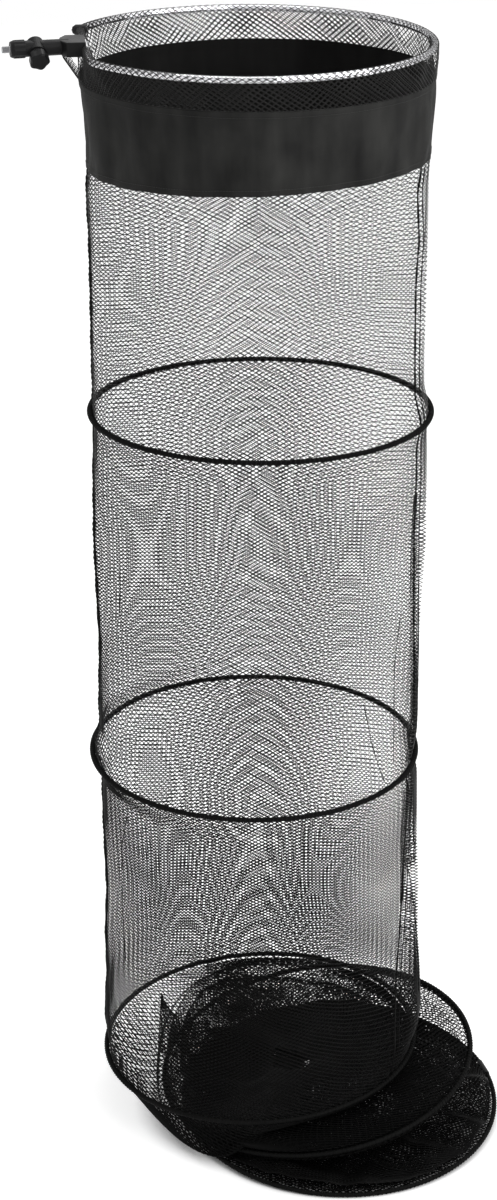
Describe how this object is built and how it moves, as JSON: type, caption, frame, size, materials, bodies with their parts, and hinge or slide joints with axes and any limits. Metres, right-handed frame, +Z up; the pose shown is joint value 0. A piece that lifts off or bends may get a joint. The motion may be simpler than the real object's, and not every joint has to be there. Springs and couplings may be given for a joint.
{
  "type": "keep net",
  "caption": "Round collapsible net tube on wire rings, hung from a tilting threaded adaptor with a star clamp knob, its foot lying in a heap.",
  "frame": {"origin": "on the axis of the threaded stud, at the outer face of its lock collar, where the bank stick's end seats", "axes": "+X from the stud along the adaptor towards the net, +Z up along the hanging net, -X the way the bank stick's socket leaves"},
  "size_m": [0.7084, 0.6136, 1.6908],
  "materials": {
    "steel": "satin zinc plate",
    "adaptor_plastic": "fine moulded grain",
    "knob_plastic": "smooth moulded",
    "brass": "turned",
    "ring_tube": "bright drawn",
    "hoop_wire": "drawn spring wire",
    "sleeve_fabric": "stitched woven tape",
    "coarse_net": "coarse knotless diamond mesh",
    "band_fabric": "plain woven nylon",
    "net": "fine knotless mesh"
  },
  "bodies": {
    "adaptor": {"threaded_stud": "steel", "adaptor_front": "adaptor_plastic", "pivot_bolt": "steel"},
    "lock_collar": {"lock_collar": "adaptor_plastic"},
    "clamp_washer": {"clamp_washer": "steel"},
    "clamp_knob": {"clamp_knob": "knob_plastic", "knob_insert": "brass"},
    "top_ring": {"adaptor_arm": "adaptor_plastic", "top_ring_tube": "ring_tube", "ring_plug": "steel", "ring_screw_1": "steel", "ring_screw_2": "steel", "corner_guard": "knob_plastic", "mesh_collar": "coarse_net", "fabric_band": "band_fabric", "net_panel_1": "net"},
    "ring_2": {"ring_2_hoop": "hoop_wire", "ring_2_sleeve": "sleeve_fabric", "net_panel_2": "net"},
    "ring_3": {"ring_3_hoop": "hoop_wire", "ring_3_sleeve": "sleeve_fabric", "net_panel_3": "net"},
    "ring_4": {"ring_4_hoop": "hoop_wire", "ring_4_sleeve": "sleeve_fabric", "net_panel_4": "net"},
    "ring_5": {"ring_5_hoop": "hoop_wire", "ring_5_sleeve": "sleeve_fabric", "net_panel_5": "net"},
    "ring_6": {"ring_6_hoop": "hoop_wire", "ring_6_sleeve": "sleeve_fabric", "base_net": "net", "ring_6_clip": "knob_plastic"}
  },
  "joints": [
    {"name": "collar_turn", "type": "hinge", "parent": "adaptor", "child": "lock_collar", "pos_m": [0, 0, 0], "axis": [1, 0, 0], "range_deg": [0, 1080]},
    {"name": "clamp_slide", "type": "slide", "parent": "adaptor", "child": "clamp_washer", "axis": [0, -0.8829, -0.4695], "range_m": [0, 0.002]},
    {"name": "knob_turn", "type": "hinge", "parent": "clamp_washer", "child": "clamp_knob", "pos_m": [0.0353, 0, 0], "axis": [0, -0.8829, -0.4695], "range_deg": [0, 720]},
    {"name": "tilt", "type": "hinge", "parent": "adaptor", "child": "top_ring", "pos_m": [0.0353, 0, 0], "axis": [0, 0.8829, 0.4695], "range_deg": [-50, 50]},
    {"name": "ring_2_slide", "type": "slide", "parent": "top_ring", "child": "ring_2", "axis": [0, 0, 1], "range_m": [0, 0.4985], "deforming": ["mesh_collar", "fabric_band", "net_panel_1"]},
    {"name": "ring_3_slide", "type": "slide", "parent": "ring_2", "child": "ring_3", "axis": [0, 0, 1], "range_m": [0, 0.514], "deforming": ["net_panel_2"]},
    {"name": "ring_4_slide", "type": "slide", "parent": "ring_3", "child": "ring_4", "axis": [0, 0, 1], "range_m": [0, 0.48], "deforming": ["net_panel_3"]},
    {"name": "ring_5_slide", "type": "slide", "parent": "ring_4", "child": "ring_5", "axis": [0, 0, 1], "range_m": [-0.5, 0], "deforming": ["net_panel_4"]},
    {"name": "ring_6_slide", "type": "slide", "parent": "ring_5", "child": "ring_6", "axis": [0, 0, 1], "range_m": [-0.5, 0], "deforming": ["net_panel_5"]}
  ],
  "couplings": [
    {"joint": "clamp_slide", "follows": "knob_turn", "m_per_rad": 0.00015915}
  ]
}
